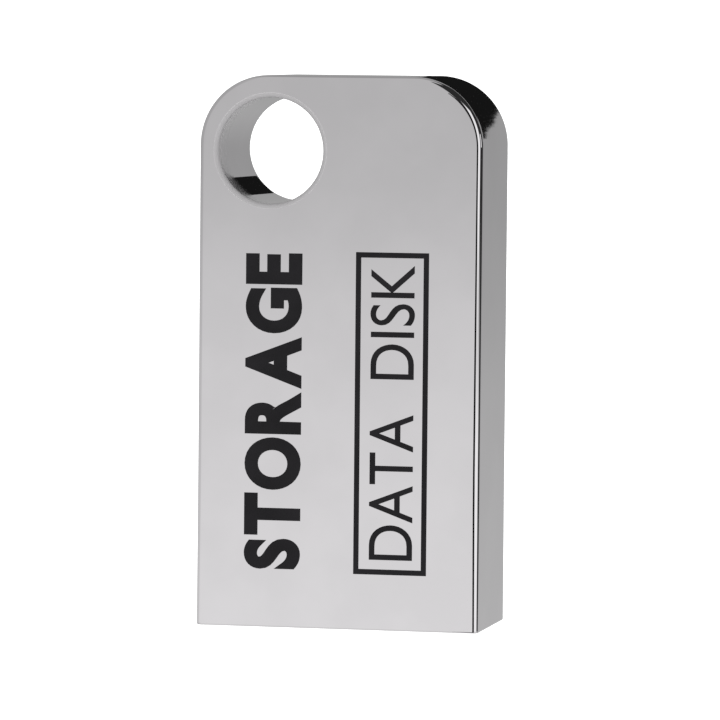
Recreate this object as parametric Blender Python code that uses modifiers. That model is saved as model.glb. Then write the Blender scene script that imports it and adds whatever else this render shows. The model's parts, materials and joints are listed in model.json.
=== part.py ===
"""A pocket USB flash drive: a chrome-plated zinc case with a keyring hole, and a plug carriage that a
thumb button on the back slides out of the mouth at the foot. It stands on its mouth, as it is stored.

X runs across the case, Y from its front to its back, and Z up from the mouth to the keyring hole.
The origin is at the middle of the foot, halfway between the front face and the top of the button.
"""

import math

import bmesh
import bpy
from mathutils import Vector

MM = 0.001
SMOOTH_ANGLE = math.radians(35)

# Case, outside
CASE_W = 14.0 * MM
CASE_T = 6.8 * MM
CASE_H = 26.8 * MM
CORNER_R = 3.4 * MM
EDGE_R = 0.3 * MM
BUTTON_RISE = 0.65 * MM
FRONT_Y = -(CASE_T + BUTTON_RISE) / 2
BACK_Y = FRONT_Y + CASE_T

# Keyring hole, beside the upper left corner, with rounded rims
HOLE_R = 2.62 * MM
HOLE_FROM_SIDE = 3.52 * MM
HOLE_FROM_TOP = 3.65 * MM
HOLE_FLARE = 0.3 * MM
FLARE_STEPS = 3
HOLE_X = -CASE_W / 2 + HOLE_FROM_SIDE
HOLE_Z = CASE_H - HOLE_FROM_TOP

# USB A plug shell, standard outside section
SHELL_W = 12.0 * MM
SHELL_T = 4.5 * MM
SHELL_WALL = 0.3 * MM
SHELL_LENGTH = 17.7 * MM
SHELL_CORNER = 0.55 * MM
SHELL_TIP_Z = 0.3 * MM
WINDOW_SIZE = (2.5 * MM, 2.0 * MM)
WINDOW_X = 2.25 * MM
WINDOW_FROM_TIP = 5.16 * MM
WINDOW_R = 0.2 * MM

# Travel of the carriage, which bares 12.2 mm of plug
TRAVEL = 12.5 * MM

# Cavity and mouth
RUN_GAP = 0.15 * MM
FIT_GAP = 0.05 * MM
REST_GAP = 0.03 * MM
CAVITY_HALF_W = SHELL_W / 2 + RUN_GAP
CAVITY_FRONT = FRONT_Y + 0.75 * MM
CAVITY_TOP = 19.2 * MM
FOOT_WALL = 0.9 * MM
SHELL_FRONT = CAVITY_FRONT + RUN_GAP
SHELL_BACK = SHELL_FRONT + SHELL_T
SHELL_TOP_Z = SHELL_TIP_Z + SHELL_LENGTH

# Back cover, let into a rebate
LEDGE = 0.35 * MM
COVER_T = 0.7 * MM
REBATE_DEPTH = 0.8 * MM
REBATE_R = 0.9 * MM
REBATE_Y = BACK_Y - REBATE_DEPTH

# Slider bracket on the plug shell's back
BRACKET_HALF_W = 5.0 * MM
BRACKET_T = 0.5 * MM
BRACKET_Z0 = FOOT_WALL + TRAVEL + FIT_GAP
BRACKET_Z1 = 19.0 * MM
BRACKET_Y0 = SHELL_BACK + REST_GAP
BRACKET_Y1 = BRACKET_Y0 + BRACKET_T
REAR_WALL_Y1 = BRACKET_Y1 - 0.1 * MM
BOSS_INSET = SHELL_WALL + FIT_GAP
MOULD_R = 0.4 * MM

# Thumb button and its slot
NECK_W = 2.0 * MM
NECK_L = 3.0 * MM
NECK_Z = 16.2 * MM
PEG_W = 1.2 * MM
PEG_L = 2.0 * MM
SLOT_GAP = 0.2 * MM
PAD_W = 6.4 * MM
PAD_L = 5.2 * MM
PAD_T = 0.45 * MM
PAD_CLEAR = 0.05 * MM
PAD_R = 1.2 * MM
RIB_COUNT = 4
RIB_PITCH = 1.0 * MM
RIB_W = 0.4 * MM
RIB_HALF_L = 2.3 * MM
JOIN = 0.2 * MM

# Detent spring of bent wire
WIRE_R = 0.2 * MM
WIRE_Y = (BRACKET_Y0 + BRACKET_Y1) / 2
ARM_X = 5.5 * MM
BUMP_X = CAVITY_HALF_W - WIRE_R - REST_GAP
BUMP_Z = 16.0 * MM
BUMP_HALF = 0.7 * MM
ARM_FOOT_Z = 14.1 * MM
BRIDGE_Z = 18.6 * MM
NOTCH_DEPTH = 0.3 * MM
NOTCH_HALF = 0.6 * MM

# Circuit board and what is on it
INNER_FRONT = SHELL_FRONT + SHELL_WALL
TRAY_T = 1.27 * MM
TRAY_FLOOR = 0.25 * MM
TRAY_WALL = 0.5 * MM
TRAY_LIP = 0.9 * MM
TRAY_R = 0.3 * MM
BOARD_T = 0.6 * MM
BOARD_W = 11.2 * MM
BOARD_Z0 = SHELL_TIP_Z + 0.45 * MM
BOARD_Z1 = 17.0 * MM
BOARD_R = 0.4 * MM
TRAY_BACK = INNER_FRONT + REST_GAP + TRAY_T
BOARD_FRONT = TRAY_BACK + REST_GAP
BOARD_BACK = BOARD_FRONT + BOARD_T
SOLDER = 0.02 * MM
CONTACT_T = 0.06 * MM
CONTACT_W = 1.0 * MM
CONTACT_R = 0.25 * MM
CONTACTS = (
    ("contact_power", -3.5 * MM, 7.4 * MM, 0.9 * MM),
    ("contact_data_minus", -1.0 * MM, 6.4 * MM, 1.9 * MM),
    ("contact_data_plus", 1.0 * MM, 6.4 * MM, 1.9 * MM),
    ("contact_ground", 3.5 * MM, 7.4 * MM, 0.9 * MM),
)

# Components: width, thickness and length of each kind
FLASH_SIZE = (9.0 * MM, 0.85 * MM, 8.5 * MM)
FLASH_Z = 6.2 * MM
CONTROLLER_SIZE = (5.0 * MM, 0.8 * MM, 4.8 * MM)
CONTROLLER_Z = 13.4 * MM
CRYSTAL_SIZE = (2.5 * MM, 0.7 * MM, 3.2 * MM)
CRYSTAL_X = 3.7 * MM
CRYSTAL_Z = 14.9 * MM
CRYSTAL_R = 0.3 * MM
TALL_CHIP = (0.8 * MM, 0.6 * MM, 1.6 * MM)
FLAT_CHIP = (0.8 * MM, 0.4 * MM, 1.6 * MM)
CHIP_X0 = -4.6 * MM
CHIP_PITCH = 1.5 * MM
LOWER_ROW_Z = 14.1 * MM
UPPER_ROW_Z = 16.1 * MM


# --- helpers -------------------------------------------------------------------------------------


def clear_scene():
    for obj in list(bpy.data.objects):
        bpy.data.objects.remove(obj)


def new_collection(name):
    made = bpy.data.collections.new(name)
    bpy.context.scene.collection.children.link(made)
    return made


def make_material(name, colour, roughness, metallic):
    made = bpy.data.materials.new(name)
    made.use_nodes = True
    shader = made.node_tree.nodes["Principled BSDF"]
    shader.inputs["Base Color"].default_value = (*colour, 1.0)
    shader.inputs["Roughness"].default_value = roughness
    shader.inputs["Metallic"].default_value = metallic
    made.diffuse_color = (*colour, 1.0)
    return made


def link(mesh_or_curve, name, collection, material=None):
    obj = bpy.data.objects.new(name, mesh_or_curve)
    collection.objects.link(obj)
    if material is not None:
        obj.data.materials.append(material)
    return obj


def edges_along(bm, axis):
    """The edges of a box-like mesh that run along one axis."""
    return [e for e in bm.edges if abs((e.verts[1].co - e.verts[0].co).normalized()[axis]) > 0.999]


def block_mesh(name, low, high, radius=0.0, axis=1, segments=5, only=None):
    """A box between two corners. The edges along one axis are rounded; only picks some of them."""
    low, high = Vector(low), Vector(high)
    bm = bmesh.new()
    bmesh.ops.create_cube(bm, size=1.0)
    bmesh.ops.scale(bm, vec=high - low, verts=bm.verts)
    bmesh.ops.translate(bm, vec=(low + high) / 2, verts=bm.verts)
    if radius > 0:
        chosen = edges_along(bm, axis)
        if only is not None:
            chosen = [e for e in chosen if only((e.verts[0].co + e.verts[1].co) / 2)]
        bmesh.ops.bevel(bm, geom=chosen, offset=radius, segments=segments, profile=0.5, affect="EDGES")
    mesh = bpy.data.meshes.new(name)
    bm.to_mesh(mesh)
    bm.free()
    return mesh


def block(name, low, high, collection, material=None, **rounding):
    return link(block_mesh(name, low, high, **rounding), name, collection, material)


def helper(obj):
    """A cutter or a piece to be joined: it isn't part of the model by itself."""
    obj.hide_render = True
    obj.display_type = "WIRE"
    return obj


def combine(obj, operation, *others):
    for other in others:
        modifier = obj.modifiers.new(f"{operation.lower()} {other.name}", "BOOLEAN")
        modifier.operation = operation
        modifier.object = helper(other)
    return obj


def shade_round(obj):
    obj.data.shade_smooth()
    obj.data.set_sharp_from_angle(angle=SMOOTH_ANGLE)
    return obj


# --- case ----------------------------------------------------------------------------------------


def case_body_mesh():
    """The outer block: two upper corners rounded, then the front and back edges, down to the foot."""
    half_w = CASE_W / 2
    bm = bmesh.new()
    bm.from_mesh(
        block_mesh(
            "case_block",
            (-half_w, FRONT_Y, 0),
            (half_w, BACK_Y, CASE_H),
            radius=CORNER_R,
            segments=14,
            only=lambda middle: middle.z > CASE_H / 2,
        )
    )

    def on_face_rim(edge):
        a, b = (v.co for v in edge.verts)
        on_face = abs(a.y - b.y) < 1e-7 and min(abs(a.y - FRONT_Y), abs(a.y - BACK_Y)) < 1e-7
        return on_face and max(a.z, b.z) > 1e-6

    rims = [e for e in bm.edges if on_face_rim(e)]
    bmesh.ops.bevel(bm, geom=rims, offset=EDGE_R, segments=3, profile=0.5, affect="EDGES")
    mesh = bpy.data.meshes.new("housing")
    bm.to_mesh(mesh)
    bm.free()
    return mesh


def hole_cutter(cutters):
    """A turned cutter along Y, with its ends flared so that the rims of the hole come out rounded."""
    half_t = CASE_T / 2
    wide = HOLE_R + HOLE_FLARE
    upper = [(0, half_t + MM), (wide, half_t + MM)]
    for i in range(FLARE_STEPS + 1):
        angle = math.pi / 2 * (1 - i / FLARE_STEPS)
        upper.append((wide - HOLE_FLARE * math.cos(angle), half_t - HOLE_FLARE * (1 - math.sin(angle))))
    outline = upper + [(r, -z) for r, z in reversed(upper)]
    mesh = bpy.data.meshes.new("keyring_cutter")
    mesh.from_pydata([(r, 0, z) for r, z in outline], [(i, i + 1) for i in range(len(outline) - 1)], [])
    obj = helper(link(mesh, "keyring_cutter", cutters))
    screw = obj.modifiers.new("turn", "SCREW")
    screw.axis = "Z"
    screw.steps = screw.render_steps = 48
    screw.use_merge_vertices = True
    screw.merge_threshold = 1e-7
    obj.location = (HOLE_X, (FRONT_Y + BACK_Y) / 2, HOLE_Z)
    obj.rotation_euler = (math.radians(-90), 0, 0)
    return obj


def notch_cutters(cutters):
    """A bar across the cavity for each end of the travel: both side walls get a pocket for the bumps."""
    reach = CAVITY_HALF_W + NOTCH_DEPTH
    made = []
    for state, z in (("in", BUMP_Z), ("out", BUMP_Z - TRAVEL)):
        low = (-reach, WIRE_Y - WIRE_R - RUN_GAP, z - NOTCH_HALF)
        high = (reach, BACK_Y + MM, z + NOTCH_HALF)
        made.append(block(f"notches_{state}", low, high, cutters))
    return made


def make_housing(parts, cutters, chrome):
    housing = link(case_body_mesh(), "housing", parts, chrome)
    cavity = block(
        "cavity_cutter",
        (-CAVITY_HALF_W, CAVITY_FRONT, FOOT_WALL),
        (CAVITY_HALF_W, BACK_Y + MM, CAVITY_TOP),
        cutters,
    )
    mouth = block(
        "mouth_cutter",
        (-CAVITY_HALF_W, CAVITY_FRONT, -MM),
        (CAVITY_HALF_W, SHELL_BACK + RUN_GAP, FOOT_WALL + MM),
        cutters,
        radius=SHELL_CORNER,
        axis=2,
        segments=3,
    )
    rebate = block(
        "rebate_cutter",
        (-CAVITY_HALF_W - LEDGE, REBATE_Y, FOOT_WALL - LEDGE),
        (CAVITY_HALF_W + LEDGE, BACK_Y + MM, CAVITY_TOP + LEDGE),
        cutters,
        radius=REBATE_R,
        segments=5,
    )
    combine(housing, "DIFFERENCE", cavity, mouth, rebate, hole_cutter(cutters), *notch_cutters(cutters))
    return shade_round(housing)


def slot_block(name, width, length, z, y0, y1, collection, material=None):
    """A prism with half-round ends, standing along Z and reaching from y0 to y1."""
    low = (-width / 2, y0, z - length / 2)
    high = (width / 2, y1, z + length / 2)
    return block(name, low, high, collection, material, radius=width * 0.4999, segments=8)


def make_back_cover(parts, cutters, chrome):
    half_w = CAVITY_HALF_W + LEDGE - FIT_GAP
    cover = block(
        "back_cover",
        (-half_w, REBATE_Y + REST_GAP, FOOT_WALL - LEDGE + FIT_GAP),
        (half_w, REBATE_Y + REST_GAP + COVER_T, CAVITY_TOP + LEDGE - FIT_GAP),
        parts,
        chrome,
        radius=REBATE_R - FIT_GAP,
        segments=5,
    )
    slot = slot_block(
        "slot_cutter",
        NECK_W + 2 * SLOT_GAP,
        NECK_L + TRAVEL + 2 * SLOT_GAP,
        NECK_Z - TRAVEL / 2,
        REBATE_Y - MM,
        BACK_Y + MM,
        cutters,
    )
    return shade_round(combine(cover, "DIFFERENCE", slot))


# --- carriage ------------------------------------------------------------------------------------


def make_plug_shell(parts, cutters, steel):
    """A rounded tube of folded strip, open at both ends, with two latch windows in each wide face."""
    half_w = SHELL_W / 2
    mesh = block_mesh(
        "plug_shell",
        (-half_w, SHELL_FRONT, SHELL_TIP_Z),
        (half_w, SHELL_BACK, SHELL_TOP_Z),
        radius=SHELL_CORNER,
        axis=2,
        segments=5,
    )
    bm = bmesh.new()
    bm.from_mesh(mesh)
    ends = [f for f in bm.faces if abs(f.normal.z) > 0.9]
    bmesh.ops.delete(bm, geom=ends, context="FACES_ONLY")
    bm.to_mesh(mesh)
    bm.free()
    shell = link(mesh, "plug_shell", parts, steel)
    solidify = shell.modifiers.new("wall", "SOLIDIFY")
    solidify.thickness = SHELL_WALL
    solidify.offset = -1
    solidify.use_even_offset = True
    width, length = WINDOW_SIZE
    z0 = SHELL_TIP_Z + WINDOW_FROM_TIP
    windows = []
    for side in (-1, 1):
        x0 = side * WINDOW_X - width / 2
        name = f"window_{'left' if side < 0 else 'right'}"
        low = (x0, SHELL_FRONT - MM, z0)
        high = (x0 + width, SHELL_BACK + MM, z0 + length)
        windows.append(block(name, low, high, cutters, radius=WINDOW_R, segments=2))
    return shade_round(combine(shell, "DIFFERENCE", *windows))


def make_slider_bracket(parts, cutters, black):
    """The moulding that closes the shell's rear end and lies along its back, under the button."""
    bracket = block(
        "slider_bracket",
        (-BRACKET_HALF_W, BRACKET_Y0, BRACKET_Z0),
        (BRACKET_HALF_W, BRACKET_Y1, BRACKET_Z1),
        parts,
        black,
        radius=MOULD_R,
        segments=2,
        only=lambda middle: middle.z < BRACKET_Z1 - MM,
    )
    rear_wall = block(
        "rear_wall",
        (-SHELL_W / 2, SHELL_FRONT, SHELL_TOP_Z + FIT_GAP),
        (SHELL_W / 2, REAR_WALL_Y1, BRACKET_Z1),
        cutters,
        radius=MOULD_R,
        segments=2,
        axis=2,
        only=lambda middle: middle.y < 0,
    )
    boss = block(
        "boss",
        (-SHELL_W / 2 + BOSS_INSET, SHELL_FRONT + BOSS_INSET, BOARD_Z1 + FIT_GAP),
        (SHELL_W / 2 - BOSS_INSET, SHELL_BACK - BOSS_INSET, BRACKET_Z1 - JOIN),
        cutters,
        radius=MOULD_R,
        segments=2,
        axis=2,
    )
    combine(bracket, "UNION", rear_wall, boss)
    peg_hole = slot_block(
        "peg_hole",
        PEG_W + 2 * FIT_GAP,
        PEG_L + 2 * FIT_GAP,
        NECK_Z,
        BRACKET_Y0 - FIT_GAP,
        BRACKET_Y1 + MM,
        cutters,
    )
    groove = WIRE_R + FIT_GAP
    bridge_groove = block(
        "bridge_groove",
        (-ARM_X - groove, WIRE_Y - groove, BRIDGE_Z - groove),
        (ARM_X + groove, WIRE_Y + MM, BRIDGE_Z + groove),
        cutters,
    )
    arm_grooves = []
    for side in (-1, 1):
        name = f"arm_groove_{'left' if side < 0 else 'right'}"
        low = (side * ARM_X - groove, WIRE_Y - groove, ARM_FOOT_Z)
        high = (side * ARM_X + groove, WIRE_Y + MM, BRIDGE_Z)
        arm_grooves.append(block(name, low, high, cutters))
    return combine(bracket, "DIFFERENCE", peg_hole, bridge_groove, *arm_grooves)


def make_detent_spring(parts, spring_steel):
    """A bent wire: a bridge over the bracket and two arms whose bumps click into the case's notches."""
    arm = [
        (ARM_X, ARM_FOOT_Z),
        (ARM_X, BUMP_Z - BUMP_HALF),
        (BUMP_X, BUMP_Z),
        (ARM_X, BUMP_Z + BUMP_HALF),
        (ARM_X, BRIDGE_Z - WIRE_R),
        (ARM_X - WIRE_R, BRIDGE_Z),
    ]
    points = arm + [(-x, z) for x, z in reversed(arm)]
    curve = bpy.data.curves.new("detent_spring", "CURVE")
    curve.dimensions = "3D"
    curve.bevel_depth = WIRE_R
    curve.bevel_resolution = 2
    curve.use_fill_caps = True
    spline = curve.splines.new("POLY")
    spline.points.add(len(points) - 1)
    for point, (x, z) in zip(spline.points, points):
        point.co = (x, WIRE_Y, z, 1)
    return link(curve, "detent_spring", parts, spring_steel)


def make_thumb_button(parts, cutters, black):
    """A ribbed pad outside the cover, a neck through the slot and a peg into the bracket."""
    pad_y = BACK_Y + PAD_CLEAR
    button = block(
        "thumb_button",
        (-PAD_W / 2, pad_y, NECK_Z - PAD_L / 2),
        (PAD_W / 2, pad_y + PAD_T, NECK_Z + PAD_L / 2),
        parts,
        black,
        radius=PAD_R,
        segments=6,
    )
    neck_foot = BRACKET_Y1 + REST_GAP
    neck = slot_block("neck", NECK_W, NECK_L, NECK_Z, neck_foot, pad_y + JOIN, cutters)
    peg = slot_block("peg", PEG_W, PEG_L, NECK_Z, BRACKET_Y0 + REST_GAP, neck_foot + JOIN, cutters)
    ribs = []
    for i in range(RIB_COUNT):
        z = NECK_Z + (i - (RIB_COUNT - 1) / 2) * RIB_PITCH
        low = (-RIB_HALF_L, pad_y + PAD_T / 2, z - RIB_W / 2)
        high = (RIB_HALF_L, BACK_Y + BUTTON_RISE, z + RIB_W / 2)
        ribs.append(block(f"rib_{i + 1}", low, high, cutters))
    return combine(button, "UNION", neck, peg, *ribs)


def make_board_tray(parts, cutters, black):
    """A shallow tray inside the shell that carries the board and leaves room for the chips below it."""
    half_w = SHELL_W / 2 - SHELL_WALL - FIT_GAP
    tray = block(
        "board_tray",
        (-half_w, INNER_FRONT + REST_GAP, BOARD_Z0),
        (half_w, TRAY_BACK, BOARD_Z1),
        parts,
        black,
        radius=TRAY_R,
        segments=2,
        axis=2,
        only=lambda middle: middle.y < TRAY_BACK - TRAY_R,
    )
    pocket = block(
        "tray_pocket",
        (-half_w + TRAY_WALL, INNER_FRONT + REST_GAP + TRAY_FLOOR, BOARD_Z0 + TRAY_LIP),
        (half_w - TRAY_WALL, TRAY_BACK + MM, BOARD_Z1 - TRAY_WALL),
        cutters,
        radius=MOULD_R,
        segments=2,
    )
    return combine(tray, "DIFFERENCE", pocket)


def make_circuit_board(parts, laminate):
    return block(
        "circuit_board",
        (-BOARD_W / 2, BOARD_FRONT, BOARD_Z0),
        (BOARD_W / 2, BOARD_BACK, BOARD_Z1),
        parts,
        laminate,
        radius=BOARD_R,
        segments=3,
    )


def make_contacts(parts, gold):
    """Four gold pads on the board. Power and ground start nearer the tip, so that they mate first."""
    made = []
    for name, x, length, setback in CONTACTS:
        z0 = SHELL_TIP_Z + setback
        low = (x - CONTACT_W / 2, BOARD_BACK + SOLDER, z0)
        high = (x + CONTACT_W / 2, BOARD_BACK + SOLDER + CONTACT_T, z0 + length)
        made.append(block(name, low, high, parts, gold, radius=CONTACT_R, segments=3))
    return made


def under_board(name, x, z, size, parts, material, **rounding):
    """A component on the board's front side, inside the tray."""
    width, thickness, length = size
    top = BOARD_FRONT - SOLDER
    low = (x - width / 2, top - thickness, z - length / 2)
    high = (x + width / 2, top, z + length / 2)
    return block(name, low, high, parts, material, **rounding)


def over_board(name, x, z, size, parts, material, **rounding):
    """A component on the board's back side, behind the contacts."""
    width, thickness, length = size
    foot = BOARD_BACK + SOLDER
    low = (x - width / 2, foot, z - length / 2)
    high = (x + width / 2, foot + thickness, z + length / 2)
    return block(name, low, high, parts, material, **rounding)


def make_components(parts, materials):
    """The memory and its controller under the board, and the small parts behind the contacts."""
    epoxy = materials["epoxy"]
    under_board("flash_chip", 0, FLASH_Z, FLASH_SIZE, parts, epoxy)
    under_board("controller_chip", 0, CONTROLLER_Z, CONTROLLER_SIZE, parts, epoxy)
    can = materials["nickel"]
    over_board("crystal", CRYSTAL_X, CRYSTAL_Z, CRYSTAL_SIZE, parts, can, radius=CRYSTAL_R, segments=2)
    for i in range(4):
        x = CHIP_X0 + i * CHIP_PITCH
        over_board(f"capacitor_{i + 1}", x, LOWER_ROW_Z, TALL_CHIP, parts, materials["ceramic"])
    for i in range(3):
        x = CHIP_X0 + i * CHIP_PITCH
        over_board(f"resistor_{i + 1}", x, UPPER_ROW_Z, FLAT_CHIP, parts, materials["resistor"])
    over_board("ferrite_bead", CHIP_X0 + 3 * CHIP_PITCH, UPPER_ROW_Z, TALL_CHIP, parts, materials["ferrite"])


def make_materials():
    return {
        "chrome": make_material("chrome", (0.74, 0.73, 0.74), 0.12, 1.0),
        "plug_steel": make_material("plug_steel", (0.66, 0.66, 0.65), 0.28, 1.0),
        "spring_steel": make_material("spring_steel", (0.55, 0.55, 0.55), 0.3, 1.0),
        "black_plastic": make_material("black_plastic", (0.025, 0.025, 0.027), 0.55, 0.0),
        "laminate": make_material("laminate", (0.02, 0.11, 0.05), 0.4, 0.0),
        "gold": make_material("gold", (0.86, 0.62, 0.26), 0.25, 1.0),
        "epoxy": make_material("epoxy", (0.03, 0.03, 0.032), 0.6, 0.0),
        "nickel": make_material("nickel", (0.62, 0.61, 0.58), 0.3, 1.0),
        "ceramic": make_material("ceramic", (0.52, 0.4, 0.26), 0.5, 0.0),
        "resistor": make_material("resistor", (0.05, 0.05, 0.05), 0.5, 0.0),
        "ferrite": make_material("ferrite", (0.16, 0.16, 0.17), 0.5, 0.0),
    }


def main():
    clear_scene()
    parts = new_collection("usb_flash_drive")
    cutters = new_collection("cutters")
    materials = make_materials()
    make_housing(parts, cutters, materials["chrome"])
    make_back_cover(parts, cutters, materials["chrome"])
    make_plug_shell(parts, cutters, materials["plug_steel"])
    make_slider_bracket(parts, cutters, materials["black_plastic"])
    make_detent_spring(parts, materials["spring_steel"])
    make_thumb_button(parts, cutters, materials["black_plastic"])
    make_board_tray(parts, cutters, materials["black_plastic"])
    make_circuit_board(parts, materials["laminate"])
    make_contacts(parts, materials["gold"])
    make_components(parts, materials)


main()
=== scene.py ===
"""The looks of the pocket USB flash drive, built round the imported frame: a bright case with black print.

Everything is in metres, in the frame of the CAD model: X across the case, Y from front to back, Z up.
"""

import json
import math

import bmesh
import bpy
from mathutils import Matrix, Vector


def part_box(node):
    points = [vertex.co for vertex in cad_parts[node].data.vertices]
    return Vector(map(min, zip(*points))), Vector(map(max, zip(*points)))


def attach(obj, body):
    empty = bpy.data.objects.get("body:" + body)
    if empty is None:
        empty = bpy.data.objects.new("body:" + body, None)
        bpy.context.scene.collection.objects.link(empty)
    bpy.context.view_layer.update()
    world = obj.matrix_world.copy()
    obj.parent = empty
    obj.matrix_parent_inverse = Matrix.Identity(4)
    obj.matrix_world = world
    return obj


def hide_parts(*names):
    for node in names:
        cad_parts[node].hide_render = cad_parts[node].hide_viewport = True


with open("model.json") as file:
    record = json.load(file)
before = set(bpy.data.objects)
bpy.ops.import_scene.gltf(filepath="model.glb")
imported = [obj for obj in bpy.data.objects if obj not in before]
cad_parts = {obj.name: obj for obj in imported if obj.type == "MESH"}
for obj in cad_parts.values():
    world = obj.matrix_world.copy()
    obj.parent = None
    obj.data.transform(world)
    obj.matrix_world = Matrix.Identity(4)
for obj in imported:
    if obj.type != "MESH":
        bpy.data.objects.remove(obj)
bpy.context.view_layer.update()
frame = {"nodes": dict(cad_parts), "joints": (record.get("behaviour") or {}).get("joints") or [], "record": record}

MM = 0.001
CUT_TOLERANCE = 0.000001

# The case, from the frame
CASE_LOW, CASE_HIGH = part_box("housing")
COVER_LOW, COVER_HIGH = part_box("back_cover")
PLUG_LOW, PLUG_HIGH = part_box("plug_shell")
BUTTON_LOW, BUTTON_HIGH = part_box("thumb_button")
FRONT_Y = CASE_LOW.y
BACK_Y = CASE_HIGH.y
CASE_H = CASE_HIGH.z
HALF_W = CASE_HIGH.x
TRAVEL = frame["joints"][0]["range_m"][1]
FLOOR_GAP = 0.5 * MM

# The case's curves. The fillet grows from the foot's radius to the top's over FILLET_RISE.
CORNER_R = 3.4 * MM
FILLET_TOP = 0.34 * MM
FILLET_FOOT = 0.265 * MM
FILLET_RISE = 7.0 * MM
FOOT_EDGE = 0.08 * MM

# The keyring hole. Past its front rim the wall is partly satin, which fades out over the depths.
HOLE_R = 2.58 * MM
HOLE_X = -HALF_W + 3.54 * MM
HOLE_Z = CASE_H - 3.65 * MM
RIM_R = 0.24 * MM
SATIN_DEPTHS = tuple(depth * MM for depth in (0.3, 0.8, 1.3, 1.8))
SATIN_SHARE = 0.3

# The cavity, as in the CAD model
CAVITY_HALF_W = 6.15 * MM
CAVITY_FRONT = FRONT_Y + 0.75 * MM
CAVITY_FOOT = 0.9 * MM
CAVITY_TOP = 19.2 * MM
CAVITY_R = 0.15 * MM
MOUTH_BACK = PLUG_HIGH.y + 0.15 * MM
MOUTH_R = 0.55 * MM
REBATE_GAP = 0.05 * MM
REBATE_Y = BACK_Y - 0.8 * MM
REBATE_R = 0.9 * MM
SLOT_HALF_W = 1.2 * MM
SLOT_LOW = 2.0 * MM
SLOT_HIGH = 17.9 * MM

# The print on the front face
INK_RISE = 0.012 * MM
INK_DEPTH = 0.01 * MM
WORD = "STORAGE"
WORD_BOX = ((-4.61 * MM, 2.84 * MM), (-1.81 * MM, 18.2 * MM))
WORD_GAP = 0.16 * MM
WORD_WEIGHT = 0.05
LABEL = "DATA  DISK"
LABEL_BOX = ((1.58 * MM, 3.44 * MM), (3.77 * MM, 17.7 * MM))
BORDER_BOX = ((0.84 * MM, 2.72 * MM), (4.44 * MM, 18.32 * MM))
BORDER_LINE = 0.26 * MM

# The plug's shell, with its windows' places from its middle and its tip
PLUG_WALL = 0.3 * MM
PLUG_CORNER_R = 0.55 * MM
WINDOW_X = 2.25 * MM
WINDOW_HALF_W = 1.25 * MM
WINDOW_UP = 5.16 * MM
WINDOW_H = 2.0 * MM
WINDOW_R = 0.2 * MM
SEAM_HALF_W = 0.02 * MM
SEAM_DEPTH = 0.1 * MM

# The thumb button
BUTTON_GAP = 0.05 * MM
BUTTON_R = 1.2 * MM
RIB_COUNT = 4
RIB_PITCH = 1.0 * MM
RIB_RISE = 0.15 * MM
RIB_HALF_H = 0.2 * MM
RIB_HALF_W = 2.3 * MM
NECK_HALF_W = 1.0 * MM
NECK_HALF_H = 1.5 * MM
PEG_LENGTH = 0.53 * MM
OVERLAP = 0.2 * MM

# The camera: a long lens, a little above the case and to its right
LENS_MM = 273.8
SENSOR_MM = 36.0
CAMERA_DISTANCE = 10 * CASE_H
CAMERA_TURN = math.radians(-12.29)
CAMERA_TILT = math.radians(3.44)
CAMERA_ROLL = math.radians(0.54)
CAMERA_SHIFT = Vector((-0.0123 * CASE_H, 0, 0.019 * CASE_H))


# --- meshes --------------------------------------------------------------------------------------


def link(data, name):
    obj = bpy.data.objects.new(name, data)
    bpy.context.scene.collection.objects.link(obj)
    return obj


def apply_modifiers(obj):
    """Replaces an object's data by its evaluated mesh."""
    graph = bpy.context.evaluated_depsgraph_get()
    mesh = bpy.data.meshes.new_from_object(obj.evaluated_get(graph))
    mesh.name = obj.name
    obj.modifiers.clear()
    if obj.type == "MESH":
        obj.data = mesh
        return obj
    made = link(mesh, obj.name)
    made.matrix_world = obj.matrix_world
    bpy.data.objects.remove(obj)
    return made


def block(name, low, high, radius=0.0, axis=1, segments=10):
    """A box between two corners, with the edges along one axis rounded."""
    low, high = Vector(low), Vector(high)
    bm = bmesh.new()
    bmesh.ops.create_cube(bm, size=1.0)
    bmesh.ops.scale(bm, vec=high - low, verts=bm.verts)
    bmesh.ops.translate(bm, vec=(low + high) / 2, verts=bm.verts)
    if radius > 0:
        along = [e for e in bm.edges if abs((e.verts[1].co - e.verts[0].co).normalized()[axis]) > 0.999]
        bmesh.ops.bevel(bm, geom=along, offset=radius, segments=segments, profile=0.5, affect="EDGES")
    mesh = bpy.data.meshes.new(name)
    bm.to_mesh(mesh)
    bm.free()
    return link(mesh, name)


def cut(obj, *cutters, operation="DIFFERENCE"):
    """Cuts, or joins, with each of the others in turn, and removes them."""
    for cutter in cutters:
        modifier = obj.modifiers.new(cutter.name, "BOOLEAN")
        modifier.operation = operation
        modifier.object = cutter
    apply_modifiers(obj)
    for cutter in cutters:
        bpy.data.objects.remove(cutter)
    return obj


def weld(obj, distance=1e-7, flatten=False):
    """Joins points that lie together, and optionally dissolves the lines across flat faces."""
    bm = bmesh.new()
    bm.from_mesh(obj.data)
    bmesh.ops.remove_doubles(bm, verts=bm.verts, dist=distance)
    if flatten:
        bmesh.ops.dissolve_limit(bm, angle_limit=math.radians(1), verts=bm.verts, edges=bm.edges)
    bm.to_mesh(obj.data)
    bm.free()
    return obj


def bevel(obj, width, segments=3, angle=35):
    modifier = obj.modifiers.new("edges", "BEVEL")
    modifier.width = width
    modifier.segments = segments
    modifier.limit_method = "ANGLE"
    modifier.angle_limit = math.radians(angle)
    modifier.use_clamp_overlap = True
    return apply_modifiers(obj)


def smooth(obj, angle=32):
    """Smooth shading that keeps flat faces flat and sharp edges sharp."""
    obj.data.shade_smooth()
    obj.data.set_sharp_from_angle(angle=math.radians(angle))
    modifier = obj.modifiers.new("normals", "WEIGHTED_NORMAL")
    modifier.mode = "FACE_AREA"
    modifier.weight = 100
    modifier.keep_sharp = True
    return obj


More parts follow.
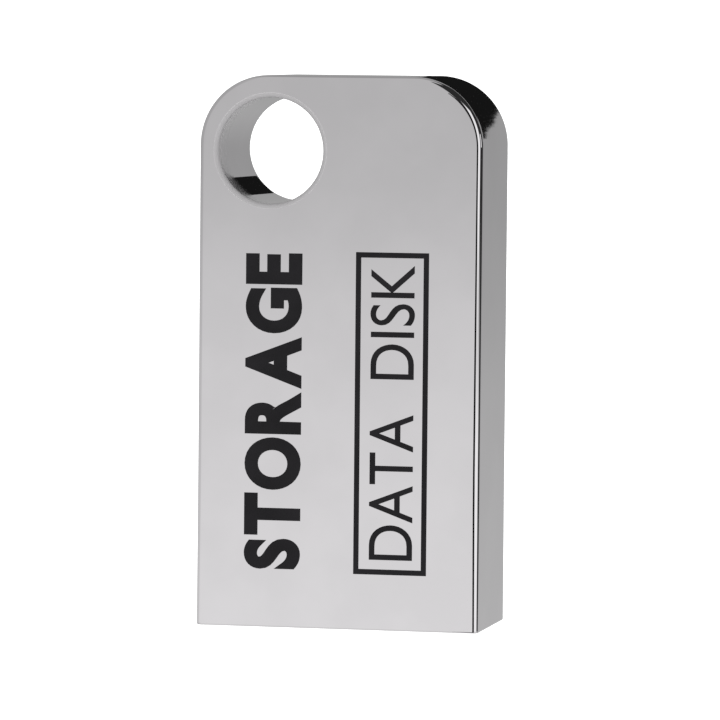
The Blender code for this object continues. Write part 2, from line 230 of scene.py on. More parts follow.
def finish_piece(obj, body, slot, material, *nodes):
    """Gives a piece its material and body, and hides the CAD nodes that it stands for."""
    obj.data.materials.clear()
    obj.data.materials.append(material)
    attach(obj, body)
    if nodes:
        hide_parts(*nodes)
    return obj


# --- node helpers --------------------------------------------------------------------------------


class Nodes:
    """Short calls for building one node tree."""

    def __init__(self, tree):
        self.tree = tree

    def new(self, kind, **settings):
        node = self.tree.nodes.new(kind)
        for name, value in settings.items():
            setattr(node, name, value)
        return node

    def link(self, source, target):
        self.tree.links.new(source, target)

    def feed(self, socket, value):
        """Links a socket's source, or sets a plain value."""
        if isinstance(value, bpy.types.NodeSocket):
            self.link(value, socket)
        else:
            socket.default_value = value

    def math(self, operation, a, b=0.0, clamp=False):
        node = self.new("ShaderNodeMath", operation=operation, use_clamp=clamp)
        self.feed(node.inputs[0], a)
        self.feed(node.inputs[1], b)
        return node.outputs[0]

    def dot(self, vector, direction):
        node = self.new("ShaderNodeVectorMath", operation="DOT_PRODUCT")
        self.feed(node.inputs[0], vector)
        node.inputs[1].default_value = direction
        return node.outputs["Value"]

    def remap(self, value, low, high, to_low=0.0, to_high=1.0, smooth=True):
        node = self.new("ShaderNodeMapRange", interpolation_type="SMOOTHSTEP" if smooth else "LINEAR")
        self.feed(node.inputs["Value"], value)
        node.inputs["From Min"].default_value = low
        node.inputs["From Max"].default_value = high
        node.inputs["To Min"].default_value = to_low
        node.inputs["To Max"].default_value = to_high
        return node.outputs["Result"]

    def ramp(self, factor, stops):
        """A colour ramp through (place, grey or colour) stops."""
        node = self.new("ShaderNodeValToRGB")
        elements = node.color_ramp.elements
        while len(elements) < len(stops):
            elements.new(0.5)
        for element, (place, colour) in zip(elements, stops):
            element.position = place
            rgb = (colour,) * 3 if isinstance(colour, float) else colour
            element.color = (*rgb, 1.0)
        self.feed(node.inputs["Fac"], factor)
        return node.outputs["Color"]

    def mix(self, factor, a, b):
        node = self.new("ShaderNodeMix", data_type="RGBA")
        self.feed(node.inputs["Factor"], factor)
        for socket, value in ((node.inputs["A"], a), (node.inputs["B"], b)):
            self.feed(socket, (*value, 1.0) if isinstance(value, tuple) else value)
        return node.outputs["Result"]

    def blend(self, factor, a, b):
        node = self.new("ShaderNodeMix", data_type="FLOAT")
        for socket, value in zip(node.inputs[:1] + node.inputs[2:4], (factor, a, b)):
            self.feed(socket, value)
        return node.outputs["Result"]

    def place(self):
        """Object coordinates, which are the frame's own metres."""
        return self.new("ShaderNodeTexCoord").outputs["Object"]

    def noise(self, vector, scale, detail=4.0, roughness=0.55, stretch=None):
        if stretch is not None:
            mapping = self.new("ShaderNodeMapping")
            self.link(vector, mapping.inputs["Vector"])
            mapping.inputs["Scale"].default_value = stretch
            vector = mapping.outputs["Vector"]
        node = self.new("ShaderNodeTexNoise")
        self.link(vector, node.inputs["Vector"])
        node.inputs["Scale"].default_value = scale
        node.inputs["Detail"].default_value = detail
        node.inputs["Roughness"].default_value = roughness
        return node.outputs["Fac"]

    def bump(self, height, strength, distance, normal=None):
        node = self.new("ShaderNodeBump")
        self.link(height, node.inputs["Height"])
        node.inputs["Strength"].default_value = strength
        node.inputs["Distance"].default_value = distance
        if normal is not None:
            self.link(normal, node.inputs["Normal"])
        return node.outputs["Normal"]


def new_material(name):
    material = bpy.data.materials.new(name)
    material.use_nodes = True
    shader = material.node_tree.nodes["Principled BSDF"]
    return material, Nodes(material.node_tree), shader


# --- materials -----------------------------------------------------------------------------------


def chrome_material(name, tint, roughness):
    """Bright chrome with faint polishing haze and hairlines, and dull cast metal where "satin" is 1."""
    material, nodes, shader = new_material(name)
    place = nodes.place()
    haze = nodes.noise(place, 260.0, detail=3.0)
    hairlines = nodes.noise(place, 900.0, detail=2.0, stretch=(9.0, 9.0, 0.4))
    darker = tuple(c * 0.965 for c in tint)
    satin = nodes.new("ShaderNodeAttribute", attribute_name="satin").outputs["Fac"]
    colour = nodes.mix(nodes.remap(haze, 0.35, 0.65), tint, darker)
    nodes.link(nodes.mix(satin, colour, tuple(c * 0.43 for c in tint)), shader.inputs["Base Color"])
    nodes.link(nodes.remap(satin, 0.0, 1.0, 1.0, 0.1, smooth=False), shader.inputs["Metallic"])
    spread = nodes.remap(haze, 0.3, 0.75, roughness * 0.75, roughness * 1.25)
    lines = nodes.remap(hairlines, 0.55, 0.8, 0.0, roughness * 0.5)
    rough = nodes.math("ADD", nodes.math("ADD", spread, lines), nodes.math("MULTIPLY", satin, 0.7))
    nodes.link(rough, shader.inputs["Roughness"])
    nodes.link(nodes.bump(hairlines, 0.02, 0.00001), shader.inputs["Normal"])
    return material


def steel_material(name, tint, roughness, grain=(1.0, 1.0, 40.0)):
    """Plated, drawn or brushed strip. Its grain is finest along the axis with the largest scale."""
    material, nodes, shader = new_material(name)
    place = nodes.place()
    lines = nodes.noise(place, 500.0, detail=4.0, stretch=grain)
    cloud = nodes.noise(place, 180.0, detail=3.0)
    darker = tuple(c * 0.82 for c in tint)
    nodes.link(nodes.mix(nodes.remap(lines, 0.3, 0.7), darker, tint), shader.inputs["Base Color"])
    shader.inputs["Metallic"].default_value = 1.0
    rough = nodes.math(
        "ADD",
        nodes.remap(cloud, 0.3, 0.7, roughness * 0.8, roughness * 1.2),
        nodes.remap(lines, 0.3, 0.7, 0.0, 0.08),
    )
    nodes.link(rough, shader.inputs["Roughness"])
    nodes.link(nodes.bump(lines, 0.12, 0.00001), shader.inputs["Normal"])
    return material


def plastic_material(name, tint, roughness, grain=7000.0, height=0.000004):
    """A black moulding with a spark-eroded grain, a little paler where the grain catches light."""
    material, nodes, shader = new_material(name)
    place = nodes.place()
    fine = nodes.noise(place, grain, detail=3.0)
    broad = nodes.noise(place, 250.0, detail=2.0)
    paler = tuple(c * 1.5 + 0.004 for c in tint)
    nodes.link(nodes.mix(nodes.remap(fine, 0.4, 0.75), tint, paler), shader.inputs["Base Color"])
    rough = nodes.remap(broad, 0.3, 0.7, roughness * 0.95, roughness * 1.05)
    nodes.link(rough, shader.inputs["Roughness"])
    nodes.link(nodes.bump(fine, 0.35, height), shader.inputs["Normal"])
    return material


def ink_material():
    """Pad-printed ink: nearly black, dull, with a slightly uneven film."""
    material, nodes, shader = new_material("print_ink")
    place = nodes.place()
    film = nodes.noise(place, 320.0, detail=4.0)
    grain = nodes.noise(place, 2600.0, detail=2.0)
    tone = nodes.ramp(film, [(0.3, (0.006, 0.0055, 0.0065)), (0.7, (0.011, 0.010, 0.012))])
    nodes.link(tone, shader.inputs["Base Color"])
    nodes.link(nodes.remap(grain, 0.3, 0.7, 0.42, 0.6), shader.inputs["Roughness"])
    shader.inputs["Specular IOR Level"].default_value = 0.15
    nodes.link(nodes.bump(grain, 0.15, 0.000004), shader.inputs["Normal"])
    return material


def board_material():
    """Green solder mask over laminate, with copper tracks that show as slightly paler raised lines."""
    material, nodes, shader = new_material("laminate")
    place = nodes.place()
    wave = nodes.new("ShaderNodeTexWave", wave_type="BANDS", bands_direction="X", wave_profile="SIN")
    nodes.link(place, wave.inputs["Vector"])
    wave.inputs["Scale"].default_value = 330.0
    wave.inputs["Distortion"].default_value = 1.2
    tracks = nodes.remap(wave.outputs["Fac"], 0.62, 0.72)
    weave = nodes.noise(place, 1500.0, detail=2.0)
    mask = nodes.mix(tracks, (0.012, 0.085, 0.035), (0.03, 0.16, 0.06))
    woven = nodes.mix(nodes.remap(weave, 0.4, 0.7, 0.0, 0.35), mask, (0.02, 0.11, 0.04))
    nodes.link(woven, shader.inputs["Base Color"])
    nodes.link(nodes.remap(weave, 0.3, 0.7, 0.28, 0.42), shader.inputs["Roughness"])
    nodes.link(nodes.bump(tracks, 0.5, 0.00002), shader.inputs["Normal"])
    return material


def tinned_material(name, body_colour, low, high):
    """A small ceramic part whose two ends, along Z, are tinned."""
    material, nodes, shader = new_material(name)
    place = nodes.place()
    height = nodes.dot(place, (0, 0, 1))
    end = 0.28 * MM
    step = 0.02 * MM
    foot = nodes.remap(height, low + end - step, low + end + step, 1.0, 0.0)
    head = nodes.remap(height, high - end - step, high - end + step, 0.0, 1.0)
    tin = nodes.math("MAXIMUM", foot, head)
    grain = nodes.noise(place, 2200.0, detail=3.0)
    darker = tuple(c * 0.7 for c in body_colour)
    speckled = nodes.mix(nodes.remap(grain, 0.35, 0.7), body_colour, darker)
    nodes.link(nodes.mix(tin, speckled, (0.62, 0.62, 0.6)), shader.inputs["Base Color"])
    nodes.link(tin, shader.inputs["Metallic"])
    nodes.link(nodes.remap(grain, 0.3, 0.7, 0.3, 0.5), shader.inputs["Roughness"])
    nodes.link(nodes.bump(grain, 0.2, 0.00001), shader.inputs["Normal"])
    return material


# --- case ----------------------------------------------------------------------------------------


def fillet_at(z):
    """The edge fillet narrows near the foot."""
    share = min(1.0, z / FILLET_RISE)
    return FILLET_FOOT + (FILLET_TOP - FILLET_FOOT) * share


def slab_outline(arc_steps=40, side_steps=12):
    """Points and outward normals round the slab in XZ, from the lower right corner to the lower left.

    An extra row lies just above the foot's bevel, so that the shading stays crisp there.
    """
    centre_z = CASE_H - CORNER_R
    straight = [centre_z * i / side_steps for i in range(side_steps)]
    straight.insert(1, FOOT_EDGE * 1.5)
    points = [((HALF_W, z), (1, 0)) for z in straight]
    for side, start in ((1, 0.0), (-1, math.pi / 2)):
        centre_x = side * (HALF_W - CORNER_R)
        for i in range(arc_steps + 1):
            angle = start + math.pi / 2 * i / arc_steps
            nx, nz = math.cos(angle), math.sin(angle)
            points.append(((centre_x + CORNER_R * nx, centre_z + CORNER_R * nz), (nx, nz)))
    points += [((-HALF_W, z), (-1, 0)) for z in reversed(straight)]
    return points


def slab_mesh(name, fillet_steps=10):
    """The case's outer block, lofted round its outline, with a fillet along its front and back edges."""
    bm = bmesh.new()
    rows = []
    for (x, z), (nx, nz) in slab_outline():
        radius = fillet_at(z)
        row = []
        for face_y, inward in ((FRONT_Y, 1), (BACK_Y, -1)):
            arc = []
            for i in range(fillet_steps + 1):
                angle = math.pi / 2 * i / fillet_steps
                inset = radius * (1 - math.sin(angle))
                depth = inward * radius * (1 - math.cos(angle))
                arc.append(bm.verts.new((x - nx * inset, face_y + depth, z - nz * inset)))
            row += arc if inward > 0 else arc[::-1]
        rows.append(row)
    for a, b in zip(rows, rows[1:]):
        for i in range(len(a) - 1):
            bm.faces.new((a[i], b[i], b[i + 1], a[i + 1]))
    bm.faces.new([row[0] for row in rows])
    bm.faces.new([row[-1] for row in reversed(rows)])
    bm.faces.new(rows[0] + rows[-1][::-1])
    bmesh.ops.recalc_face_normals(bm, faces=bm.faces)
    foot = [e for e in bm.edges if max(v.co.z for v in e.verts) < 1e-6]
    bmesh.ops.bevel(bm, geom=foot, offset=FOOT_EDGE, segments=3, profile=0.5, affect="EDGES")
    mesh = bpy.data.meshes.new(name)
    bm.to_mesh(mesh)
    bm.free()
    return mesh


def hole_cutter(steps=160, rim_steps=12):
    """A turned cutter along Y whose ends flare, so that both rims of the keyring hole come out round."""
    half_t = (BACK_Y - FRONT_Y) / 2
    wide = HOLE_R + RIM_R
    profile = [(0, half_t + MM), (wide, half_t + MM)]
    for i in range(rim_steps + 1):
        angle = math.pi / 2 * (1 - i / rim_steps)
        profile.append((wide - RIM_R * math.cos(angle), half_t - RIM_R * (1 - math.sin(angle))))
    profile += [(HOLE_R, half_t - RIM_R - depth) for depth in SATIN_DEPTHS]
    profile += [(r, -z) for r, z in reversed(profile)]
    mesh = bpy.data.meshes.new("hole_cutter")
    mesh.from_pydata([(r, 0, z) for r, z in profile], [(i, i + 1) for i in range(len(profile) - 1)], [])
    obj = link(mesh, "hole_cutter")
    screw = obj.modifiers.new("turn", "SCREW")
    screw.axis = "Z"
    screw.steps = screw.render_steps = steps
    screw.use_merge_vertices = True
    screw.merge_threshold = 1e-7
    obj.location = (HOLE_X, (FRONT_Y + BACK_Y) / 2, HOLE_Z)
    obj.rotation_euler = (math.radians(-90), 0, 0)
    return apply_modifiers(obj)


def mark_satin(obj):
    """Marks what the polishing wheel doesn't reach: the hole's rims, and partly the front of its wall."""
    rim = RIM_R * 0.99
    attribute = obj.data.attributes.new("satin", "FLOAT", "POINT")
    for vertex, value in zip(obj.data.vertices, attribute.data):
        x, y, z = vertex.co
        reach = math.hypot(x - HOLE_X, z - HOLE_Z) - HOLE_R
        depth = min(y - FRONT_Y, BACK_Y - y)
        if depth < rim and reach < rim:
            value.value = 1.0
        elif abs(reach) < RIM_R * 0.1:
            value.value = SATIN_SHARE * max(0.0, 1 - (y - FRONT_Y - RIM_R) / SATIN_DEPTHS[-1])


def make_housing(chrome):
    housing = link(slab_mesh("housing_shell"), "housing_shell")
    cavity = block(
        "cavity",
        (-CAVITY_HALF_W, CAVITY_FRONT, CAVITY_FOOT),
        (CAVITY_HALF_W, BACK_Y + MM, CAVITY_TOP),
        radius=CAVITY_R,
    )
    mouth = block(
        "mouth",
        (-CAVITY_HALF_W, CAVITY_FRONT, -MM),
        (CAVITY_HALF_W, MOUTH_BACK, CAVITY_FOOT + MM),
        radius=MOUTH_R,
        axis=2,
    )
    rebate = block(
        "rebate",
        (COVER_LOW.x - REBATE_GAP, REBATE_Y, COVER_LOW.z - REBATE_GAP),
        (COVER_HIGH.x + REBATE_GAP, BACK_Y + MM, COVER_HIGH.z + REBATE_GAP),
        radius=REBATE_R,
    )
    cut(housing, hole_cutter(), cavity, mouth, rebate)
    weld(housing, distance=CUT_TOLERANCE)
    mark_satin(housing)
    smooth(housing)
    return finish_piece(housing, "case", "chrome_case", chrome, "housing")


def make_back_plate(steel):
    """The cover let into the back, with softened edges and the slot that the button's neck runs in."""
    plate = block("back_plate", COVER_LOW, COVER_HIGH, radius=REBATE_R - REBATE_GAP)
    slot = block(
        "slot",
        (-SLOT_HALF_W, COVER_LOW.y - MM, SLOT_LOW),
        (SLOT_HALF_W, COVER_HIGH.y + MM, SLOT_HIGH),
        radius=SLOT_HALF_W * 0.9999,
        segments=20,
    )
    cut(plate, slot)
    bevel(plate, 0.09 * MM, segments=4)
    smooth(plate)
    return finish_piece(plate, "case", "chrome_cover", steel, "back_cover")


# --- print ---------------------------------------------------------------------------------------


def text_mesh(text, weight=0.0):
    """A line of text as a mesh, one unit high and with its lower left corner at the origin."""
    curve = bpy.data.curves.new(text, "FONT")
    curve.body = text
    curve.offset = weight
    curve.extrude = 0.5
    curve.resolution_u = 8
    obj = apply_modifiers(link(curve, text))
    low = Vector(map(min, *[v.co for v in obj.data.vertices]))
    high = Vector(map(max, *[v.co for v in obj.data.vertices]))
    obj.data.transform(Matrix.Translation(-low))
    return obj, high.x - low.x, high.y - low.y


def lay_print(obj, length, height, box):
    """Lays text on the front face so that it fills a box, given as (x, z) corners, and reads upwards."""
    (x0, z0), (x1, z1) = box
    thickness = INK_RISE + INK_DEPTH
    stretch = Matrix.Diagonal(((z1 - z0) / length, (x1 - x0) / height, thickness, 1))
    turn = Matrix(((0, -1, 0), (0, 0, -1), (1, 0, 0))).to_4x4()
    obj.data.transform(Matrix.Translation((x1, FRONT_Y + INK_DEPTH, z0)) @ turn @ stretch)


def print_word(ink):
    """The heavy line: its letters share out the height by their own widths."""
    (x0, z0), (x1, z1) = WORD_BOX
    letters = [text_mesh(letter, WORD_WEIGHT) for letter in WORD]
    widths = sum(length for _, length, _ in letters)
    unit = (z1 - z0 - WORD_GAP * (len(letters) - 1)) / widths
    z = z0
    for i, (obj, length, height) in enumerate(letters):
        top = z + length * unit
        lay_print(obj, length, height, ((x0, z), (x1, top)))
        obj.name = f"print_letter_{i + 1}"
        finish_piece(obj, "case", "print_ink", ink)
        z = top + WORD_GAP


def print_label(ink):
    obj, length, height = text_mesh(LABEL)
    lay_print(obj, length, height, LABEL_BOX)
    obj.name = "print_label"
    finish_piece(obj, "case", "print_ink", ink)


def print_border(ink):
    """A plain rectangle of line round the label."""
    (x0, z0), (x1, z1) = BORDER_BOX
    line = BORDER_LINE
    border = block("print_border", (x0, FRONT_Y - INK_RISE, z0), (x1, FRONT_Y + INK_DEPTH, z1))
    inside = block("inside", (x0 + line, FRONT_Y - MM, z0 + line), (x1 - line, FRONT_Y + MM, z1 - line))
    cut(border, inside)
    finish_piece(border, "case", "print_ink", ink)


# --- carriage ------------------------------------------------------------------------------------


def make_plug(steel):
    """The plug's shell of folded strip, with a closed seam down the middle of its front."""
    wall = PLUG_WALL
    sleeve = block("plug_sleeve", PLUG_LOW, PLUG_HIGH, radius=PLUG_CORNER_R, axis=2)
    inner_low = (PLUG_LOW.x + wall, PLUG_LOW.y + wall, PLUG_LOW.z - MM)
    inner_high = (PLUG_HIGH.x - wall, PLUG_HIGH.y - wall, PLUG_HIGH.z + MM)
    cutters = [block("bore", inner_low, inner_high, radius=PLUG_CORNER_R - wall, axis=2)]
    window_z = PLUG_LOW.z + WINDOW_UP
    for side in (-1, 1):
        x = side * WINDOW_X
        low = (x - WINDOW_HALF_W, PLUG_LOW.y - MM, window_z)
        high = (x + WINDOW_HALF_W, PLUG_HIGH.y + MM, window_z + WINDOW_H)
        cutters.append(block(f"window_{side}", low, high, radius=WINDOW_R, segments=6))
    seam_low = (-SEAM_HALF_W, PLUG_LOW.y - MM, PLUG_LOW.z - MM)
    seam_high = (SEAM_HALF_W, PLUG_LOW.y + SEAM_DEPTH, PLUG_HIGH.z + MM)
    cutters.append(block("seam", seam_low, seam_high))
    cut(sleeve, *cutters)
    bevel(sleeve, 0.03 * MM, segments=2, angle=50)
    smooth(sleeve)
    return finish_piece(sleeve, "carriage", "plug_steel", steel, "plug_shell")


def make_button(plastic):
    """The thumb button: a flat pad with soft ribs, and the neck that goes through the slot."""
    pad_low = Vector((BUTTON_LOW.x, BACK_Y + BUTTON_GAP, BUTTON_LOW.z))
    pad_high = Vector((BUTTON_HIGH.x, BUTTON_HIGH.y - RIB_RISE, BUTTON_HIGH.z))
    button = block("button_grip", pad_low, pad_high, radius=BUTTON_R, segments=14)
    bevel(button, 0.16 * MM, segments=4, angle=50)
    centre_z = (BUTTON_LOW.z + BUTTON_HIGH.z) / 2
    ribs = []
    for i in range(RIB_COUNT):
        z = centre_z + (i - (RIB_COUNT - 1) / 2) * RIB_PITCH
        low = (-RIB_HALF_W, pad_high.y - OVERLAP, z - RIB_HALF_H)
        high = (RIB_HALF_W, BUTTON_HIGH.y, z + RIB_HALF_H)
        ribs.append(bevel(block(f"rib_{i}", low, high), 0.12 * MM, segments=4))
    neck_low = (-NECK_HALF_W, BUTTON_LOW.y + PEG_LENGTH, centre_z - NECK_HALF_H)
    neck_high = (NECK_HALF_W, pad_low.y + OVERLAP, centre_z + NECK_HALF_H)
    neck = block("neck", neck_low, neck_high, radius=NECK_HALF_W * 0.999)
    cut(button, neck, *ribs, operation="UNION")
    smooth(button)
    return finish_piece(button, "carriage", "black_plastic", plastic, "thumb_button")


def soften_node(node, width, material, slot):
    """A copy of a CAD node with its edges rounded, which stands for it."""
    piece = link(frame["nodes"][node].data.copy(), f"{node}_soft")
    piece.data.name = piece.name
    weld(piece, flatten=True)
    bevel(piece, width, segments=3)
    smooth(piece)
    body = "carriage" if node in frame["record"]["behaviour"]["bodies"]["carriage"] else "case"
    return finish_piece(piece, body, slot, material, node)


def make_inside(black):
    """The pieces inside the case: the same solids as in the CAD model, with their edges rounded."""
    laminate = board_material()
    gold = steel_material("gold_contacts", (0.9, 0.66, 0.28), 0.18)
    wire = steel_material("spring_steel", (0.6, 0.6, 0.6), 0.22)
    epoxy = plastic_material("chip_epoxy", (0.022, 0.022, 0.024), 0.55, grain=9000.0, height=0.000003)
    can = steel_material("crystal_can", (0.66, 0.65, 0.62), 0.25)
    soften_node("slider_bracket", 0.08 * MM, black, "black_plastic")
    soften_node("board_tray", 0.05 * MM, black, "black_plastic")
    soften_node("circuit_board", 0.03 * MM, laminate, "laminate")
    for name in ("contact_power", "contact_data_minus", "contact_data_plus", "contact_ground"):
        soften_node(name, 0.02 * MM, gold, "gold_contacts")
    soften_node("flash_chip", 0.05 * MM, epoxy, "chip_epoxy")
    soften_node("controller_chip", 0.05 * MM, epoxy, "chip_epoxy")
    soften_node("crystal", 0.12 * MM, can, "crystal_can")
    chips = [(f"capacitor_{i}", (0.5, 0.36, 0.2), "capacitor_ceramic") for i in range(1, 5)]
    chips += [(f"resistor_{i}", (0.03, 0.03, 0.032), "resistor_film") for i in range(1, 4)]
    chips.append(("ferrite_bead", (0.14, 0.14, 0.15), "ferrite"))
    for name, colour, slot in chips:
        low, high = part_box(name)
        soften_node(name, 0.04 * MM, tinned_material(f"{name}_body", colour, low.z, high.z), slot)
    spring = frame["nodes"]["detent_spring"]
    spring.data.materials.clear()
    spring.data.materials.append(wire)


# --- studio --------------------------------------------------------------------------------------

# What the polished case mirrors: azimuth from the front towards +X, width, lower and upper elevation and
# softness in degrees, the share of the wall's brightness that it keeps, and its own brightness.
# Later ones lie over earlier ones.
STUDIO_PANELS = {
    "back_wall": (180, 140, -90, 90, 12, 0.605, 0.0),
    "back_corner": (212, 80, -90, 90, 6, 0.0, 0.4),
    "left_wall": (-105, 90, -90, 60, 30, 0.8, 0.0),
    "right_wall": (84, 148, -10, 76, 5, 0.05, 0.0),
    "right_window": (88, 16, 0.2, 13, 1, 0.0, 0.9),
    "right_softbox": (50, 34, -3.2, 37, 3, 0.0, 1.1),
    "right_softbox_foot": (57, 56, -12, -3.2, 3, 0.0, 1.1),
}
# Brightness of the walls by elevation, as (degrees, brightness)
WALL_GREYS = (
    (-90, 0.95),
    (-40, 0.8),
    (-14, 0.74),
    (-8, 0.9),
    (-6.2, 0.905),
    (-4.9, 0.86),
    (-3.9, 0.815),
    (-2.8, 0.745),
    (-2.1, 0.67),
    (-1.5, 0.625),
    (-0.8, 0.6),
    (90, 0.6),
)


def studio_brightness(nodes, direction):
    """The brightness of the studio in a direction: the walls' greys, with the panels over them."""
    to_degrees = 180 / math.pi
    steepness = nodes.math("ARCSINE", nodes.dot(direction, (0, 0, 1)))
    elevation = nodes.math("MULTIPLY", steepness, to_degrees)
    stops = [((degrees + 90) / 180, grey) for degrees, grey in WALL_GREYS]
    wall = nodes.ramp(nodes.remap(elevation, -90, 90, smooth=False), stops)
    bright = wall
    for azimuth, width, low, high, soft, share, glow in STUDIO_PANELS.values():
        a = math.radians(azimuth)
        ahead = nodes.dot(direction, (math.sin(a), -math.cos(a), 0))
        aside = nodes.dot(direction, (math.cos(a), math.sin(a), 0))
        turn = nodes.math("MULTIPLY", nodes.math("ARCTAN2", aside, ahead), to_degrees)
        off_centre = nodes.math("ABSOLUTE", turn)
        within = nodes.remap(off_centre, (width - soft) / 2, (width + soft) / 2, 1.0, 0.0)
        above = nodes.remap(elevation, low - soft / 2, low + soft / 2)
        below = nodes.remap(elevation, high - soft / 2, high + soft / 2, 1.0, 0.0)
        mask = nodes.math("MULTIPLY", nodes.math("MULTIPLY", within, above), below)
        panel = nodes.math("ADD", nodes.math("MULTIPLY", wall, share), glow)
        bright = nodes.blend(mask, bright, panel)
    return bright


def make_world():
    """White all round for the floor and the background, and the studio for what the metal mirrors."""
    world = bpy.data.worlds.new("studio")
    bpy.context.scene.world = world
    world.use_nodes = True
    nodes = Nodes(world.node_tree)
    background = world.node_tree.nodes["Background"]
    direction = nodes.new("ShaderNodeTexCoord").outputs["Generated"]
    mirrored = nodes.new("ShaderNodeLightPath").outputs["Is Glossy Ray"]
    white = (1.4, 1.4, 1.4)
    light = nodes.mix(mirrored, white, studio_brightness(nodes, direction))
    nodes.link(light, background.inputs["Color"])


def glossy_only(obj):
    """Seen in reflections, but neither by the camera nor as a shadow."""
    obj.visible_camera = False
    obj.visible_diffuse = False
    obj.visible_shadow = False
    obj.visible_transmission = False
    return obj


def card_material(name, greys):
    """A sheet that mirrors nothing and glows by its height: (mm, brightness) pairs from low to high."""
    material, nodes, shader = new_material(name)
    low, high = greys[0][0], greys[-1][0]
    height = nodes.remap(nodes.dot(nodes.place(), (0, 0, 1 / MM)), low, high, smooth=False)
    glow = nodes.ramp(height, [((z - low) / (high - low), grey) for z, grey in greys])
    nodes.link(glow, shader.inputs["Emission Color"])
    shader.inputs["Emission Strength"].default_value = 1.0
    shader.inputs["Base Color"].default_value = (0, 0, 0, 1)
    shader.inputs["Roughness"].default_value = 1.0
    shader.inputs["Specular IOR Level"].default_value = 0.0
    return material


def make_card(name, y, points, greys):
    """A flat card facing the case, with its outline as (x, z) points in mm."""
    mesh = bpy.data.meshes.new(name)
    mesh.from_pydata([(x * MM, y, z * MM) for x, z in points], [], [list(range(len(points)))])
    card = glossy_only(link(mesh, name))
    card.data.materials.append(card_material(name, greys))


# The black flag stands behind the case, and most of its outline is given as (x, z) corners in mm
FLAG_BEHIND = 56.6 * MM
FLAG_LEFT = (
    (-10.1, 70),
    (-10.1, 32.6),
    (-8.8, 32.4),
    (-8.8, 27),
    (-6.5, 29),
    (-4.5, 32.7),
    (1.2, 33.2),
    (2.6, 34.6),
    (10.5, 34.6),
)
FLAG_RIGHT = ((20.5, 36), (24, 39), (60, 50), (60, 70))
BLACK_GREYS = ((-10, 0.008), (80, 0.008))
# Its torn edge: the angles and depths on the case's shoulder, in degrees and mm, where it starts and ends
FRAY_THREADS = 15
FRAY_ANGLES = (31, 10)
FRAY_DEPTHS = (6.8, 0.4)
# The grey card stands just behind the flag
GREY_CARD_BEHIND = 57.2 * MM
GREY_CARD = ((-90, -120), (90, -120), (90, 90), (-90, 90))
GREY_CARD_GREYS = (
    (-120, 0.64),
    (-50, 0.6),
    (-15, 0.53),
    (-5, 0.512),
    (1, 0.487),
    (6.9, 0.455),
    (12.6, 0.407),
    (18.4, 0.374),
    (22.4, 0.363),
    (90, 0.363),
)
# The edge strip stands close in front of the right-hand edge. It reaches this far in and out of the edge,
# and its straight part is given as (x, z) corners, all in mm.
STRIP_AHEAD = 1.0 * MM
STRIP_IN = 0.12
STRIP_OUT = 0.47
STRIP_FOOT = ((7.42, 5), (7.42, -1.6), (6.6, -1.6), (5.5, -0.35), (5.5, -0.3), (6.65, -0.2))


def mirrored_on_flag(angle, depth):
    """The point of the flag's plane that the case's right shoulder mirrors to the camera: (x, z) in mm."""
    normal = Vector((math.cos(angle), 0, math.sin(angle)))
    centre = Vector((HALF_W - CORNER_R, FRONT_Y + depth, CASE_H - CORNER_R))
    point = centre + normal * CORNER_R
    sight = point - bpy.context.scene.camera.matrix_world.translation
    bounce = sight - 2 * sight.dot(normal) * normal
    met = point + bounce * ((BACK_Y + FLAG_BEHIND - point.y) / bounce.y)
    return met.x / MM, met.z / MM


def frayed_edge():
    """The flag's torn corner: uneven threads that come down lower towards the front of the shoulder."""
    edge = []
    for i in range(FRAY_THREADS + 1):
        share = i / FRAY_THREADS
        thread = (-1) ** i * (1.8 + 1.0 * math.sin(i * 2.3)) + 1.2 * math.sin(i * 0.7)
        angle = FRAY_ANGLES[0] + (FRAY_ANGLES[1] - FRAY_ANGLES[0]) * share + thread
        depth = FRAY_DEPTHS[0] + (FRAY_DEPTHS[1] - FRAY_DEPTHS[0]) * share
        edge.append(mirrored_on_flag(math.radians(angle), depth * MM))
    return edge


def edge_strip():
    """A strip's outline that follows the right-hand edge up and round most of the shoulder."""
    centre_x = (HALF_W - CORNER_R) / MM
    centre_z = (CASE_H - CORNER_R) / MM
    inside = []
    outside = []
    for degrees in range(0, 65, 5):
        turn = Vector((math.cos(math.radians(degrees)), math.sin(math.radians(degrees))))
        for side, out in ((inside, -STRIP_IN), (outside, STRIP_OUT * (1 - degrees / 90))):
            radius = CORNER_R / MM + out
            side.append((centre_x + radius * turn.x, centre_z + radius * turn.y))
    return [*STRIP_FOOT, *inside, *reversed(outside)]


def make_cards():
    """What stands near the case and is only seen mirrored in it: the flag, the grey card and the strip."""
    make_card("flag", BACK_Y + FLAG_BEHIND, [*FLAG_LEFT, *frayed_edge(), *FLAG_RIGHT], BLACK_GREYS)
    make_card("grey_card", BACK_Y + GREY_CARD_BEHIND, GREY_CARD, GREY_CARD_GREYS)
    make_card("edge_strip", FRONT_Y - STRIP_AHEAD, edge_strip(), BLACK_GREYS)


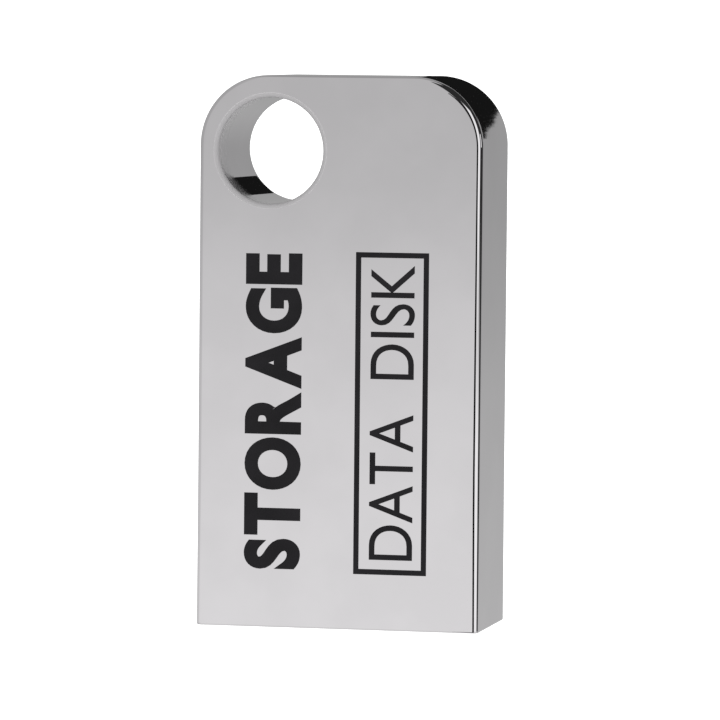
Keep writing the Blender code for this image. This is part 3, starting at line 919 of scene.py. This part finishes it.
def make_floor():
    """A plain pale floor, lit a little from below like a light table, and clear when seen from below.

    It lies just under the tip of the bared plug, so that the plug comes out above it at every pose.
    """
    mesh = bpy.data.meshes.new("floor")
    bm = bmesh.new()
    bmesh.ops.create_grid(bm, x_segments=1, y_segments=1, size=3.0)
    bmesh.ops.translate(bm, vec=(0, 0, PLUG_LOW.z - TRAVEL - FLOOR_GAP), verts=bm.verts)
    bm.to_mesh(mesh)
    bm.free()
    floor = link(mesh, "floor")
    material, nodes, shader = new_material("floor_white")
    cloth = nodes.noise(nodes.place(), 900.0, detail=2.0)
    nodes.link(nodes.ramp(cloth, [(0.3, 0.92), (0.7, 0.94)]), shader.inputs["Base Color"])
    shader.inputs["Roughness"].default_value = 1.0
    shader.inputs["Specular IOR Level"].default_value = 0.0
    shader.inputs["Emission Color"].default_value = (1, 1, 1, 1)
    shader.inputs["Emission Strength"].default_value = 0.3
    clear = nodes.new("ShaderNodeMixShader")
    nodes.link(nodes.new("ShaderNodeNewGeometry").outputs["Backfacing"], clear.inputs["Fac"])
    nodes.link(shader.outputs["BSDF"], clear.inputs[1])
    nodes.link(nodes.new("ShaderNodeBsdfTransparent").outputs["BSDF"], clear.inputs[2])
    nodes.link(clear.outputs["Shader"], material.node_tree.nodes["Material Output"].inputs["Surface"])
    floor.data.materials.append(material)
    floor.visible_glossy = False


def make_camera():
    camera = bpy.data.cameras.new("camera")
    camera.lens = LENS_MM
    camera.sensor_width = SENSOR_MM
    camera.clip_start = CAMERA_DISTANCE / 100
    camera.clip_end = 20.0
    obj = link(camera, "camera")
    centre = Vector((0, (FRONT_Y + BACK_Y) / 2, CASE_H / 2))
    turn = Matrix.Rotation(CAMERA_TURN, 4, "Z")
    tilt = Matrix.Rotation(CAMERA_TILT, 4, "X")
    roll = Matrix.Rotation(CAMERA_ROLL, 4, "Y")
    back = Matrix.Translation(Vector((0, -CAMERA_DISTANCE, 0)) - CAMERA_SHIFT)
    look = Matrix.Rotation(math.radians(90), 4, "X")
    obj.matrix_world = Matrix.Translation(centre) @ (roll @ tilt @ turn).inverted() @ back @ look
    bpy.context.scene.camera = obj


def main():
    make_camera()
    make_world()
    make_floor()
    make_cards()
    bpy.context.scene.view_settings.view_transform = "Standard"
    chrome = chrome_material("chrome_case", (0.76, 0.745, 0.76), 0.022)
    brushed = steel_material("chrome_cover", (0.74, 0.73, 0.74), 0.2, grain=(22.0, 22.0, 0.35))
    steel = steel_material("plug_steel", (0.7, 0.7, 0.69), 0.2)
    black = plastic_material("black_plastic", (0.02, 0.02, 0.021), 0.5)
    make_housing(chrome)
    make_back_plate(brushed)
    ink = ink_material()
    print_word(ink)
    print_label(ink)
    print_border(ink)
    make_plug(steel)
    make_button(black)
    make_inside(black)


main()
